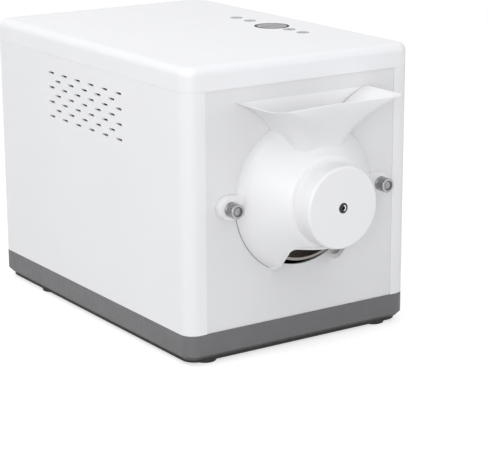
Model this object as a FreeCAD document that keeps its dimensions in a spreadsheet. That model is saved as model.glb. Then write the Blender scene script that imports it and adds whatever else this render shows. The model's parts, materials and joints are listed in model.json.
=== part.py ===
"""Home coffee bean roaster: a rotating drum in a countertop housing, with a lift-off front cover.

Frame: millimetres, +Z up, the front faces -Y, X runs left to right seen from the front.
The origin is the centre of the footprint of the whole machine, on the surface it stands on.
Each sub-part is one object of the document, and its Label is the name of its STEP file.
"""
import FreeCAD, Part
import math
import os
import Sketcher
from FreeCAD import Placement, Rotation, Vector

# ---------------------------------------------------------------- driving dimensions, mm and degrees

DIMENSIONS = {
    # housing
    "body_width": 250.0,
    "body_depth": 362.5,
    "shell_height": 243.1,
    "base_height": 24.2,
    "foot_height": 5.8,
    "corner_round": 13.5,
    "top_round": 8.0,
    "skirt_height": 21.6,
    "shell_wall": 2.5,
    "panel_wall": 2.5,
    "panel_recess": 1.0,
    "panel_half": 105.0,
    "seam_gap": 0.35,
    "base_wall": 3.0,
    "base_chamfer": 4.5,
    "panel_gap": 0.4,
    "panel_tuck": 6.0,
    "post_across": 108.0,
    "post_inset": 18.0,
    "post_radius": 4.0,
    # feet, their screws and the air slots in the tray
    "foot_radius": 11.0,
    "foot_recess": 3.0,
    "foot_recess_radius": 4.2,
    "foot_screw_radius": 1.75,
    "boss_radius": 5.5,
    "boss_rise": 5.0,
    "floor_slot_across": 45.0,
    "floor_slot_first": 60.0,
    "floor_slot_length": 50.0,
    "floor_slot_width": 3.0,
    "floor_slot_span": 42.0,
    # drum axis and what turns on it
    "axis_height": 145.0,
    "drum_radius": 60.0,
    "drum_wall": 1.2,
    "drum_front": 4.0,
    "drum_back": 203.0,
    "shaft_front_radius": 4.0,
    "shaft_rear_radius": 5.0,
    "running_fit": 0.05,
    "hub_length": 8.0,
    "bearing_radius": 11.0,
    "flight_height": 11.0,
    "flight_sheet": 2.4,
    "flight_start": 18.0,
    "flight_lead": 165.0,
    # front cover, measured forward from the front edge of the housing
    "cover_reach": 62.0,
    "dome_radius": 73.5,
    "dome_depth": 40.0,
    "dome_shoulder": 8.0,
    "dome_round": 20.0,
    "dome_crown": 42.0,
    "crown_round": 6.0,
    "cover_wall": 2.6,
    "cover_gap": 0.3,
    "seat_radius": 11.0,
    "seat_reach": 57.0,
    "seat_end_wall": 3.0,
    "bush_radius": 7.0,
    "cap_radius": 38.0,
    "cap_wall": 2.6,
    "cap_edge": 2.5,
    "cap_screw_radius": 2.0,
    "cap_head_radius": 4.6,
    "chute_half": 24.0,
    "hopper_wall": 2.5,
    "rim_height": 93.0,
    "rim_half": 73.0,
    "rim_reach": 61.8,
    "rim_round": 15.0,
    "rim_bow": 7.0,
    "flare_height": 77.0,
    "flare_half": 46.0,
    "flare_reach": 51.5,
    "flare_round": 16.0,
    "flare_bow": 4.5,
    "neck_height": 62.0,
    "neck_half": 33.5,
    "neck_reach": 40.0,
    "neck_round": 14.0,
    "neck_bow": 2.0,
    "throat_height": 45.0,
    "throat_half": 26.0,
    "throat_reach": 31.0,
    "throat_round": 11.0,
    "throat_bow": 1.2,
    "bow_round": 80.0,
    "notch_half": 34.0,
    "notch_top": 39.5,
    "notch_bow": 3.2,
    "lip_width": 2.5,
    "lip_rise": 1.2,
    "ear_half": 84.2,
    "ear_radius": 10.5,
    "ear_reach": 8.5,
    # thumb screws
    "knob_radius": 6.8,
    "knob_length": 10.5,
    "washer_thickness": 1.0,
    "screw_radius": 2.45,
    "screw_reach": 7.5,
    "nut_radius": 5.0,
    "nut_length": 5.5,
    # inner metalwork, measured back from the front edge of the housing
    "mouth_radius": 66.0,
    "front_frame_at": 6.0,
    "rear_frame_at": 222.0,
    "motor_bracket_at": 252.0,
    "frame_sheet": 2.0,
    "chamber_radius": 75.0,
    "chamber_wall": 1.2,
    "wrap_thickness": 9.0,
    "heater_radius": 67.8,
    "rod_radius": 3.2,
    "rod_half_spacing": 14.0,
    "probe_at": 110.0,
    "probe_radius": 1.6,
    # gears and motor
    "gear_module": 1.5,
    "gear_width": 8.0,
    "gear_at": 238.0,
    "motor_shaft_radius": 3.0,
    # fan
    "fan_height": 185.0,
    "fan_size": 80.0,
    "fan_depth": 25.0,
    "fan_duct": 37.5,
    "fan_blade": 35.5,
    "fan_hub": 15.0,
    "fan_pin": 1.5,
    "grille_pitch": 7.6,
    "grille_width": 4.0,
    # side vents
    "vent_length": 11.0,
    "vent_width": 2.2,
    "vent_pitch": 25.75,
    "vent_row": 7.2,
    "vent_front": -35.05,
    "vent_low": 190.8,
    # top controls
    "display_radius": 17.5,
    "display_across": 74.0,
    "display_along": 4.3,
    "key_radius": 6.5,
    "key_across": 75.5,
    "lens_gap": 0.1,
    "board_drop": 7.0,
    "board_thickness": 1.6,
    "standoff_height": 8.0,
    # power inlet and screws, at the back
    "inlet_across": 70.0,
    "inlet_height": 62.0,
    "socket_half_width": 13.6,
    "socket_half_height": 10.7,
    "socket_round": 2.0,
    "socket_depth": 20.0,
    "pin_radius": 1.3,
    "rear_screw_radius": 1.8,
}

DRUM_TEETH = 40
PINION_TEETH = 12
VENTS_ALONG = 6
FLOOR_SLOTS = 7
GRILLE_SLOTS = 9
KNOB_FLUTES = 30
KEYS_ALONG = (-45.9, -23.2, 44.5, 68.9)
FEET = {
    "front_left": (-97.0, -134.0),
    "front_right": (97.0, -134.0),
    "rear_left": (-109.0, 135.0),
    "rear_right": (109.0, 135.0),
}
REAR_SCREWS = [(across, height) for across in (-96.0, 96.0) for height in (40.0, 140.0, 243.0)]
HEATER_TURNS = {"left": -48.0, "right": 48.0}
TOUCHING = 1e-6


class Size:
    """A number that also carries its formula in the sheet of driving dimensions."""

    def __init__(self, value, formula):
        self.value = value
        self.formula = formula

    @staticmethod
    def of(number):
        return number if isinstance(number, Size) else Size(float(number), f"({float(number)!r})")

    def __add__(self, other):
        other = Size.of(other)
        return Size(self.value + other.value, f"({self.formula} + {other.formula})")

    def __sub__(self, other):
        other = Size.of(other)
        return Size(self.value - other.value, f"({self.formula} - {other.formula})")

    def __mul__(self, other):
        other = Size.of(other)
        return Size(self.value * other.value, f"({self.formula} * {other.formula})")

    def __truediv__(self, other):
        other = Size.of(other)
        return Size(self.value / other.value, f"({self.formula} / {other.formula})")

    def __neg__(self):
        return Size(-self.value, f"(0 - {self.formula})")

    def __radd__(self, other):
        return Size.of(other) + self

    def __rsub__(self, other):
        return Size.of(other) - self

    def __rmul__(self, other):
        return Size.of(other) * self


class Sizes:
    """Holds one Size for each cell of the sheet, under the cell's alias."""

    def __init__(self, sheet, dimensions):
        for row, (alias, value) in enumerate(dimensions.items(), start=1):
            sheet.set(f"A{row}", alias)
            sheet.set(f"B{row}", str(value))
            sheet.setAlias(f"B{row}", alias)
            setattr(self, alias, Size(value, f"{sheet.Name}.{alias}"))


doc = FreeCAD.newDocument("coffee_roaster")
sheet = doc.addObject("Spreadsheet::Sheet", "Driving")
d = Sizes(sheet, DIMENSIONS)
doc.recompute()

front = (d.cover_reach - d.body_depth) / 2
back = front + d.body_depth
base_top = d.foot_height + d.base_height
roof = base_top + d.shell_height
skirt_bottom = roof - d.skirt_height
tray_floor = d.foot_height + d.base_wall
cover_seat = front + d.panel_recess - d.cover_gap

PARTS = []


# ---------------------------------------------------------------- modelling helpers

def value_of(size):
    return size.value if isinstance(size, Size) else float(size)


def bind(item, path, size):
    """Set a property, and tie it to the sheet when the size comes from there."""
    if isinstance(size, Size):
        item.setExpression(path, size.formula)
    else:
        setattr(item, path, size)


def keep(item, label):
    """Name a finished sub-part and list it for export."""
    item.Label = label
    PARTS.append(item)
    return item


def place(item, x=0.0, y=0.0, z=0.0, turn=0.0, about=Vector(0, 1, 0)):
    """Move a sub-part to its place, turned by an angle about an axis through its own origin."""
    item.Placement = Placement(Vector(value_of(x), value_of(y), value_of(z)), Rotation(about, turn))
    for axis, size in zip("xyz", (x, y, z)):
        if isinstance(size, Size):
            item.setExpression(f".Placement.Base.{axis}", size.formula)
    return item


def new_body(label):
    return keep(doc.addObject("PartDesign::Body", label), label)


def origin_part(body, role):
    return next(item for item in body.Origin.OriginFeatures if item.Role == role)


def sketch_on(body, role, offset=0.0):
    """A sketch on one of the body's origin planes, moved along the plane's normal."""
    sketch = body.newObject("Sketcher::SketchObject", f"{body.Name}_sketch")
    sketch.AttachmentSupport = [(origin_part(body, role), "")]
    sketch.MapMode = "FlatFace"
    sketch.AttachmentOffset = Placement(Vector(0, 0, value_of(offset)), Rotation())
    if isinstance(offset, Size):
        sketch.setExpression(".AttachmentOffset.Base.z", offset.formula)
    return sketch


def facing(body, y):
    """A sketch upright across the machine at this y: its axes are X and Z, its normal is -Y."""
    return sketch_on(body, "XZ_Plane", 0 - y if isinstance(y, Size) else -y)


def constrain(sketch, constraint, size=None):
    index = sketch.addConstraint(constraint)
    if isinstance(size, Size):
        sketch.setExpression(f"Constraints[{index}]", size.formula)


def hold_point(sketch, geometry, point, x, y):
    """Fix a point of the sketch at x, y from its origin."""
    for kind, size, axis in (("DistanceX", x, -2), ("DistanceY", y, -1)):
        if abs(value_of(size)) < 1e-9:
            constrain(sketch, Sketcher.Constraint("PointOnObject", geometry, point, axis))
        else:
            constrain(sketch, Sketcher.Constraint(kind, -1, 1, geometry, point, value_of(size)), size)


def hold_radius(sketch, geometry, radius):
    constrain(sketch, Sketcher.Constraint("Radius", geometry, value_of(radius)), radius)


def round_corner(sketch, arriving, leaving, corner, into, out, radius):
    """An arc between two lines that would meet at the corner."""
    half = into.getAngle(out) / 2
    centre = corner + (into + out).normalize() * (value_of(radius) / math.sin(half))
    reach = value_of(radius) / math.tan(half)
    first = corner + into * reach
    last = corner + out * reach
    turns_left = into.cross(out).z < 0
    if not turns_left:
        first, last = last, first
    angles = [math.atan2(end.y - centre.y, end.x - centre.x) for end in (first, last)]
    circle = Part.Circle(centre, Vector(0, 0, 1), value_of(radius))
    arc = sketch.addGeometry(Part.ArcOfCircle(circle, *angles))
    arc_in, arc_out = (1, 2) if turns_left else (2, 1)
    constrain(sketch, Sketcher.Constraint("Tangent", arriving, 2, arc, arc_in))
    constrain(sketch, Sketcher.Constraint("Tangent", arc, arc_out, leaving, 1))
    hold_radius(sketch, arc, radius)


def outline(sketch, corners):
    """A closed loop through corners (x, y) or (x, y, radius)."""
    count = len(corners)
    points = [Vector(value_of(corner[0]), value_of(corner[1]), 0) for corner in corners]
    radii = [corner[2] if len(corner) > 2 else 0 for corner in corners]
    into = [(points[i - 1] - points[i]).normalize() for i in range(count)]
    out = [(points[(i + 1) % count] - points[i]).normalize() for i in range(count)]
    reach = []
    for i in range(count):
        half = into[i].getAngle(out[i]) / 2
        reach.append(value_of(radii[i]) / math.tan(half) if value_of(radii[i]) else 0.0)
    lines = []
    for i in range(count):
        after = (i + 1) % count
        start = points[i] + out[i] * reach[i]
        end = points[after] + into[after] * reach[after]
        lines.append(sketch.addGeometry(Part.LineSegment(start, end)))
    for i in range(count):
        arriving, leaving = lines[i - 1], lines[i]
        x, y = corners[i][:2]
        if value_of(radii[i]):
            round_corner(sketch, arriving, leaving, points[i], into[i], out[i], radii[i])
            marker = sketch.addGeometry(Part.Point(points[i]), True)
            constrain(sketch, Sketcher.Constraint("PointOnObject", marker, 1, arriving))
            constrain(sketch, Sketcher.Constraint("PointOnObject", marker, 1, leaving))
            hold_point(sketch, marker, 1, x, y)
        else:
            constrain(sketch, Sketcher.Constraint("Coincident", arriving, 2, leaving, 1))
            hold_point(sketch, leaving, 1, x, y)
    return sketch


def rectangle(sketch, left, right, low, high, radius=0):
    return outline(sketch, [
        (left, low, radius), (right, low, radius), (right, high, radius), (left, high, radius)])


def circle(sketch, x, y, radius):
    centre = Vector(value_of(x), value_of(y), 0)
    ring = sketch.addGeometry(Part.Circle(centre, Vector(0, 0, 1), value_of(radius)))
    hold_point(sketch, ring, 3, x, y)
    hold_radius(sketch, ring, radius)
    return sketch


def hexagon(sketch, reach):
    """A hexagon about the sketch's origin, with its corners at this distance from it."""
    angles = [math.radians(60 * corner) for corner in range(6)]
    return outline(sketch, [(reach * math.cos(angle), reach * math.sin(angle)) for angle in angles])


def slot(sketch, x, y, length, width):
    """A slot along the sketch's first axis, with round ends, centred at x, y."""
    radius = width / 2
    reach = (length - width) / 2
    left = Vector(value_of(x - reach), value_of(y), 0)
    right = Vector(value_of(x + reach), value_of(y), 0)
    rise = Vector(0, value_of(radius), 0)
    normal = Vector(0, 0, 1)
    end_left = sketch.addGeometry(
        Part.ArcOfCircle(Part.Circle(left, normal, rise.y), math.pi / 2, 3 * math.pi / 2))
    end_right = sketch.addGeometry(
        Part.ArcOfCircle(Part.Circle(right, normal, rise.y), -math.pi / 2, math.pi / 2))
    low = sketch.addGeometry(Part.LineSegment(left - rise, right - rise))
    high = sketch.addGeometry(Part.LineSegment(right + rise, left + rise))
    for first, first_end, second, second_end in (
            (end_left, 2, low, 1), (low, 2, end_right, 1), (end_right, 2, high, 1), (high, 2, end_left, 1)):
        constrain(sketch, Sketcher.Constraint("Tangent", first, first_end, second, second_end))
    hold_point(sketch, end_left, 3, x - reach, y)
    hold_point(sketch, end_right, 3, x + reach, y)
    hold_radius(sketch, end_left, radius)
    return sketch


def volume_of(body):
    return body.Shape.Volume if not body.Shape.isNull() else 0.0


def add_feature(body, kind, sketch, **settings):
    """A feature on the tip of the body; a cut that takes nothing away stops the build."""
    before = volume_of(body)
    feature = body.newObject(f"PartDesign::{kind}", f"{body.Name}_{kind.lower()}")
    feature.Profile = sketch
    for name, setting in settings.items():
        bind(feature, name, setting)
    sketch.Visibility = False
    doc.recompute()
    change = volume_of(body) - before
    cuts = kind in ("Pocket", "Groove", "Hole")
    if (cuts and change > -1e-3) or (not cuts and change < 1e-3):
        raise RuntimeError(f"{body.Label}: {kind} changed the volume by {change:.3f}")
    return feature


def pad(body, sketch, length, reverse=False):
    return add_feature(body, "Pad", sketch, Length=length, Reversed=reverse)


def pocket(body, sketch, length, reverse=False):
    return add_feature(body, "Pocket", sketch, Length=length, Reversed=reverse)


def revolve(body, sketch):
    """Turn the sketch about its second axis."""
    return add_feature(body, "Revolution", sketch, ReferenceAxis=(sketch, ["V_Axis"]), Angle=360.0)


def groove(body, sketch):
    """Cut the sketch, turned about its second axis, out of the body."""
    return add_feature(body, "Groove", sketch, ReferenceAxis=(sketch, ["V_Axis"]), Angle=360.0)


def edge_names(feature, wanted):
    """The edges of a feature whose every vertex passes the test."""
    return [f"Edge{number}" for number, edge in enumerate(feature.Shape.Edges, start=1)
            if all(wanted(vertex.Point) for vertex in edge.Vertexes)]


def fillet(body, feature, wanted, radius):
    rounded = body.newObject("PartDesign::Fillet", f"{body.Name}_fillet")
    rounded.Base = (feature, edge_names(feature, wanted))
    bind(rounded, "Radius", radius)
    doc.recompute()
    return rounded


def chamfer(body, feature, wanted, size):
    cut = body.newObject("PartDesign::Chamfer", f"{body.Name}_chamfer")
    cut.Base = (feature, edge_names(feature, wanted))
    bind(cut, "Size", size)
    doc.recompute()
    return cut


def repeat_along(body, feature, sketch, axis, length, count, reverse=False):
    pattern = body.newObject("PartDesign::LinearPattern", f"{body.Name}_row")
    pattern.Originals = [feature]
    pattern.Direction = (sketch, [axis])
    pattern.Reversed = reverse
    bind(pattern, "Length", length)
    pattern.Occurrences = count
    body.Tip = pattern
    doc.recompute()
    return pattern


def repeat_around(body, feature, role, count):
    pattern = body.newObject("PartDesign::PolarPattern", f"{body.Name}_circle")
    pattern.Originals = [feature]
    pattern.Axis = (origin_part(body, role), [""])
    pattern.Angle = 360.0
    pattern.Occurrences = count
    body.Tip = pattern
    doc.recompute()
    return pattern


def turned(label, corners, z=0.0, x=0.0, y=0.0):
    """A body turned about Y from corners (radius, y), set at the height of its axis."""
    body = new_body(label)
    revolve(body, outline(sketch_on(body, "XY_Plane"), corners))
    return place(body, x=x, y=y, z=z)


def tube(label, inner, outer, start, end, z, x=0.0):
    """A ring or tube about Y, between two values of y."""
    return turned(label, [(inner, start), (outer, start), (outer, end), (inner, end)], z=z, x=x)


def group(label, shapes):
    """Several separate solids that are kept as one sub-part."""
    item = doc.addObject("Part::Feature", label)
    item.Shape = Part.makeCompound(shapes)
    return keep(item, label)


def cylinder_y(radius, start, end, x, z):
    return Part.makeCylinder(value_of(radius), value_of(end) - value_of(start),
                             Vector(value_of(x), value_of(start), value_of(z)), Vector(0, 1, 0))


def cylinder_z(radius, low, high, x, y):
    return Part.makeCylinder(value_of(radius), value_of(high) - value_of(low),
                             Vector(value_of(x), value_of(y), value_of(low)))


def block(left, right, near, far, low, high):
    sides = [value_of(size) for size in (left, right, near, far, low, high)]
    corner = Vector(sides[0], sides[2], sides[4])
    return Part.makeBox(sides[1] - sides[0], sides[3] - sides[2], sides[5] - sides[4], corner)


# ---------------------------------------------------------------- housing

def base_tray():
    """Dark moulded tray under everything, with a chamfered lower edge and air slots in its floor."""
    body = new_body("base_tray")
    half = d.body_width / 2
    wall = d.base_wall
    plate = sketch_on(body, "XY_Plane", d.foot_height)
    solid = pad(body, rectangle(plate, -half, half, front, back, d.corner_round), d.base_height)
    low = d.foot_height.value
    chamfer(body, solid, lambda point: abs(point.z - low) < TOUCHING, d.base_chamfer)
    inner = rectangle(sketch_on(body, "XY_Plane", base_top), wall - half, half - wall,
                      front + wall, back - wall, d.corner_round - wall)
    pocket(body, inner, d.base_height - wall)
    bosses = sketch_on(body, "XY_Plane", tray_floor)
    holes = sketch_on(body, "XY_Plane", tray_floor + d.boss_rise)
    for across, along in FEET.values():
        circle(bosses, across, along, d.boss_radius)
        circle(holes, across, along, d.foot_screw_radius)
    pad(body, bosses, d.boss_rise)
    pocket(body, holes, d.boss_rise + wall + 1)
    slots = sketch_on(body, "XY_Plane", tray_floor)
    for side in (-1, 1):
        slot(slots, side * d.floor_slot_across, d.floor_slot_first, d.floor_slot_length, d.floor_slot_width)
    cut = pocket(body, slots, wall + 1)
    repeat_along(body, cut, slots, "V_Axis", d.floor_slot_span, FLOOR_SLOTS)


def feet():
    """Four turned rubber feet, recessed below for their screws."""
    recess = d.foot_recess
    for place_name, (across, along) in FEET.items():
        body = new_body(f"foot_{place_name}")
        revolve(body, outline(sketch_on(body, "XZ_Plane"), [
            (d.foot_screw_radius, recess), (d.foot_screw_radius, d.foot_height),
            (d.foot_radius, d.foot_height), (d.foot_radius - 0.5, 0.0, 0.8),
            (d.foot_recess_radius, 0.0), (d.foot_recess_radius, recess)]))
        place(body, x=across, y=along)


def foot_screws():
    head_radius = d.foot_recess_radius - 0.8
    head_low = d.foot_recess - 1.8
    tip = tray_floor + 4
    screws = []
    for across, along in FEET.values():
        head = cylinder_z(head_radius, head_low, d.foot_recess, across, along)
        shank = cylinder_z(d.foot_screw_radius, d.foot_recess, tip, across, along)
        screws.append(head.fuse(shank).removeSplitter())
    group("foot_screws", screws)


def side_panel(name, side):
    """A shell that covers one side and wraps round the front and rear edges; both sides have vents."""
    body = new_body(f"side_panel_{name}")
    wall = d.shell_wall
    outer = side * d.body_width / 2
    inner = outer - side * wall
    lip = side * d.panel_half
    inner_round = d.corner_round - wall
    section = outline(sketch_on(body, "XY_Plane", base_top), [
        (lip, front), (outer, front, d.corner_round), (outer, back, d.corner_round), (lip, back),
        (lip, back - wall), (inner, back - wall, inner_round),
        (inner, front + wall, inner_round), (lip, front + wall)])
    pad(body, section, skirt_bottom - d.seam_gap - base_top)
    for odd, slots, rows in ((0, VENTS_ALONG, 4), (1, VENTS_ALONG - 1, 3)):
        row = sketch_on(body, "YZ_Plane", side * (d.body_width / 2 + 1))
        for number in range(slots):
            along = d.vent_front + d.vent_pitch * (number + odd / 2)
            slot(row, along, d.vent_low + d.vent_row * odd, d.vent_length, d.vent_width)
        cut = pocket(body, row, wall + 3, reverse=side < 0)
        repeat_along(body, cut, row, "V_Axis", d.vent_row * 2 * (rows - 1), rows)


def top_cover():
    """Moulded lid of the housing: flat top with soft edges, a skirt, and seats for the controls."""
    body = new_body("top_cover")
    half = d.body_width / 2
    wall = d.shell_wall
    plate = rectangle(sketch_on(body, "XY_Plane", skirt_bottom), -half, half, front, back, d.corner_round)
    solid = pad(body, plate, d.skirt_height)
    top = roof.value
    fillet(body, solid, lambda point: abs(point.z - top) < TOUCHING, d.top_round)
    inner = rectangle(sketch_on(body, "XY_Plane", skirt_bottom), wall - half, half - wall,
                      front + wall, back - wall, d.corner_round - wall)
    pocket(body, inner, d.skirt_height - d.top_round, reverse=True)
    step = d.top_round * 0.6
    crown = rectangle(sketch_on(body, "XY_Plane", roof - d.top_round), step - half, half - step,
                      front + step, back - step, d.corner_round - step)
    pocket(body, crown, d.top_round - wall, reverse=True)
    openings = sketch_on(body, "XY_Plane", roof + 1)
    circle(openings, d.display_across, d.display_along, d.display_radius)
    for along in KEYS_ALONG:
        circle(openings, d.key_across, along, d.key_radius)
    pocket(body, openings, wall + 2)
    posts = sketch_on(body, "XY_Plane", skirt_bottom)
    for across in (-d.post_across, d.post_across):
        for along in (front + d.post_inset, back - d.post_inset):
            circle(posts, across, along, d.post_radius)
    pad(body, posts, d.skirt_height - 1)


def recessed_plate(label, outer_y, edge_y):
    """A plate between the side panels' wrapped edges, with a flange that tucks in behind them."""
    body = new_body(label)
    to_back = value_of(outer_y) < 0
    low = base_top
    high = skirt_bottom - d.seam_gap
    reach = d.panel_half - d.panel_gap
    tuck = d.panel_half + d.panel_tuck
    pad(body, rectangle(facing(body, outer_y), -reach, reach, low, high), d.panel_wall, reverse=to_back)
    flange = rectangle(facing(body, edge_y), -tuck, tuck, low, high)
    pad(body, flange, d.panel_recess + d.panel_wall - d.shell_wall, reverse=to_back)
    return body


def front_panel():
    """Plate with the drum's mouth and two clearance holes for the thumb screws' nuts."""
    near = front + d.panel_recess
    body = recessed_plate("front_panel", near, front + d.shell_wall)
    holes = circle(facing(body, near - 1), 0.0, d.axis_height, d.mouth_radius)
    for x, z in thumb_places():
        circle(holes, x, z, d.screw_radius + 0.75)
    pocket(body, holes, d.panel_wall + 2)


def thumb_places():
    """The axes of the two thumb screws: (x, z)."""
    return [(side * d.ear_half, d.axis_height) for side in (-1, 1)]


def rear_panel():
    """Plate at the back with the exhaust grille, the inlet's cut-out and screw holes."""
    far = back - d.panel_recess
    body = recessed_plate("rear_panel", far, back - d.shell_wall)
    cuts = facing(body, far - d.panel_wall - 1)
    grille = d.fan_duct.value - 1.5
    for number in range(GRILLE_SLOTS):
        rise = (number - (GRILLE_SLOTS - 1) / 2) * d.grille_pitch
        half = math.sqrt(grille ** 2 - rise.value ** 2)
        slot(cuts, Size.of(0.0), d.fan_height + rise, Size.of(2 * half), d.grille_width)
    half_x = d.socket_half_width + 0.3
    half_z = d.socket_half_height + 0.3
    rectangle(cuts, d.inlet_across - half_x, d.inlet_across + half_x,
              d.inlet_height - half_z, d.inlet_height + half_z, d.socket_round)
    for across, height in REAR_SCREWS:
        circle(cuts, across, height, d.rear_screw_radius)
    pocket(body, cuts, d.panel_wall + 3)


def rear_screws():
    """Low round-headed screws, set in the recessed plate."""
    far = back - d.panel_recess
    head_radius = d.rear_screw_radius + 1.4
    screws = []
    for across, height in REAR_SCREWS:
        head = cylinder_y(head_radius, far, far + 0.9, across, height)
        shank = cylinder_y(d.rear_screw_radius, far - 9, far, across, height)
        screws.append(head.fuse(shank).removeSplitter())
    group("rear_screws", screws)


def power_inlet():
    """Three-pin appliance inlet: flange, hollow socket facing back, and holes for its pins."""
    body = new_body("power_inlet")
    far = back - d.panel_recess - d.panel_wall
    x, z = d.inlet_across, d.inlet_height
    half_x, half_z = d.socket_half_width, d.socket_half_height
    rim = 1.9
    edges = (x - half_x, x + half_x, z - half_z, z + half_z, d.socket_round)
    flange = rectangle(facing(body, far), x - half_x - rim, x + half_x + rim,
                       z - half_z - rim, z + half_z + rim, d.socket_round)
    pad(body, flange, 1.6)
    pad(body, rectangle(facing(body, far), *edges), 3.0, reverse=True)
    pad(body, rectangle(facing(body, far), *edges), d.socket_depth)
    wall = 1.6
    cavity = rectangle(facing(body, far + 4), x - half_x + wall, x + half_x - wall,
                       z - half_z + wall, z + half_z - wall - 0.5, 3.0)
    pocket(body, cavity, d.socket_depth + 1, reverse=True)
    pins = sketch_on(body, "XZ_Plane", d.socket_depth + 2 - far)
    for across, height in inlet_pin_places():
        circle(pins, across, height, d.pin_radius)
    pocket(body, pins, 10.0)


def inlet_pin_places():
    """One pin above the middle and two below: (x, z)."""
    return [(d.inlet_across + across, d.inlet_height + rise)
            for across, rise in ((0.0, 4.8), (-7.0, -0.6), (7.0, -0.6))]


def inlet_pins():
    far = back - d.panel_recess - d.panel_wall
    group("inlet_pins", [cylinder_y(d.pin_radius, far - 26, far - 1, x, z) for x, z in inlet_pin_places()])


# ---------------------------------------------------------------- controls under the top cover

def display_window():
    """Dark disc set flush in the top cover."""
    body = new_body("display_window")
    disc = circle(sketch_on(body, "XY_Plane", roof - d.shell_wall), 0.0, 0.0, d.display_radius - d.lens_gap)
    pad(body, disc, d.shell_wall + d.lens_gap)
    place(body, x=d.display_across, y=d.display_along)


def touch_keys():
    """Four round lenses set flush in the top cover."""
    low = roof - d.shell_wall
    high = roof + d.lens_gap
    group("touch_keys", [cylinder_z(d.key_radius - d.lens_gap, low, high, d.key_across, along)
                         for along in KEYS_ALONG])


def control_board():
    """Board below the top, with the display's module and one sensor pad under each key."""
    body = new_body("control_board")
    low = roof - d.shell_wall - d.board_drop
    board = sketch_on(body, "XY_Plane", low)
    rectangle(board, d.display_across - 20, d.display_across + 22, -54.0, 88.0, 2.0)
    pad(body, board, d.board_thickness)
    seat = low + d.board_thickness
    underside = roof - d.shell_wall
    module_radius = d.display_radius - 1
    group("display_module", [
        cylinder_z(module_radius, seat, underside, d.display_across, d.display_along)])
    group("touch_sensors", [
        cylinder_z(d.key_radius - 1.5, seat, underside, d.key_across, along) for along in KEYS_ALONG])


# ---------------------------------------------------------------- frames that carry the chamber and drive

def standing_sheet(label, at, half, foot_half, foot_reach, holes, height):
    """An upright sheet with a bent foot on the tray's floor and round holes (x, z, radius)."""
    body = new_body(label)
    near = front + at
    upright = rectangle(facing(body, near), -half, half, tray_floor, height, 4.0)
    pad(body, upright, d.frame_sheet, reverse=True)
    cuts = facing(body, near - 1)
    for x, z, radius in holes:
        circle(cuts, x, z, radius)
    pocket(body, cuts, d.frame_sheet + 2)
    foot = sketch_on(body, "XY_Plane", tray_floor)
    rectangle(foot, -foot_half, foot_half, near + d.frame_sheet / 2, near + foot_reach)
    pad(body, foot, d.frame_sheet)


def frames():
    nut_holes = [(x, z, d.nut_radius) for x, z in thumb_places()]
    mouth = (0.0, d.axis_height, d.mouth_radius + 1)
    standing_sheet("front_frame", d.front_frame_at, 104.0, 80.0, 16.0, [mouth] + nut_holes, 236.0)
    bearing = (0.0, d.axis_height, d.bearing_radius)
    terminals = [(x, z, 5.0) for x, z in heater_ends()]
    standing_sheet("rear_frame", d.rear_frame_at, 92.0, 88.0, 14.0, [bearing] + terminals, 236.0)
    motor_hole = (0.0, motor_height(), 7.0)
    standing_sheet("motor_bracket", d.motor_bracket_at, 45.0, 41.0, 16.0, [motor_hole], 132.0)


def motor_height():
    """The pinion meshes with the drum's gear straight below the drum's axis."""
    return d.axis_height - d.gear_module * (DRUM_TEETH + PINION_TEETH) / 2


def thumb_nuts():
    """Clinch nuts in the front frame; their bores take the shanks of the thumb screws."""
    near = front + d.panel_recess + d.panel_wall
    far = near + d.nut_length
    bore = d.screw_radius + d.running_fit
    group("thumb_nuts", [
        cylinder_y(d.nut_radius, near, far, x, z).cut(cylinder_y(bore, near - 1, far + 1, x, z))
        for x, z in thumb_places()])


def roasting_chamber():
    """Steel tube round the drum, with a closed back that lies against the rear frame."""
    near = front + d.front_frame_at + d.frame_sheet
    far = front + d.rear_frame_at
    wall = d.chamber_wall
    bore = d.bearing_radius + 1
    outer = d.chamber_radius + wall
    flange = outer + 2.4
    body = turned("roasting_chamber", [
        (bore, far), (flange, far), (flange, far - wall), (outer, far - wall), (outer, near + wall),
        (flange, near + wall), (flange, near), (d.chamber_radius, near),
        (d.chamber_radius, far - wall), (bore, far - wall)], z=d.axis_height)
    holes = facing(body, far - wall - 1)
    for x, z in heater_ends():
        circle(holes, x, z - d.axis_height, 4.0)
    pocket(body, holes, wall + 3)
    probe_hole(body, outer + 2)


def probe_hole(body, height):
    """The temperature probe's hole, down through the top of a tube about the drum's axis."""
    hole = circle(sketch_on(body, "XY_Plane", height), 0.0, front + d.probe_at, d.probe_radius + 0.1)
    pocket(body, hole, 16.0)


def insulation_wrap():
    """Mineral wool round the chamber, between its two flanges."""
    near = front + d.front_frame_at + d.frame_sheet + d.chamber_wall
    far = front + d.rear_frame_at - d.chamber_wall
    inner = d.chamber_radius + d.chamber_wall
    outer = inner + d.wrap_thickness
    body = tube("insulation_wrap", inner, outer, near, far, d.axis_height)
    probe_hole(body, outer + 2)


def temperature_probe():
    """Sheathed sensor through the chamber's top, with a hexagon head outside the wool."""
    body = new_body("temperature_probe")
    wrap = d.axis_height + d.chamber_radius + d.chamber_wall + d.wrap_thickness
    sheath = circle(sketch_on(body, "XY_Plane", wrap), 0.0, 0.0, d.probe_radius)
    pad(body, sheath, 22.0, reverse=True)
    pad(body, hexagon(sketch_on(body, "XY_Plane", wrap), 5.0), 4.0)
    place(body, y=front + d.probe_at)


# ---------------------------------------------------------------- heating elements

def rod_depth():
    """How far below the drum's axis a heater's two straight runs lie before it is turned."""
    return math.sqrt(d.heater_radius.value ** 2 - d.rod_half_spacing.value ** 2)


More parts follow.
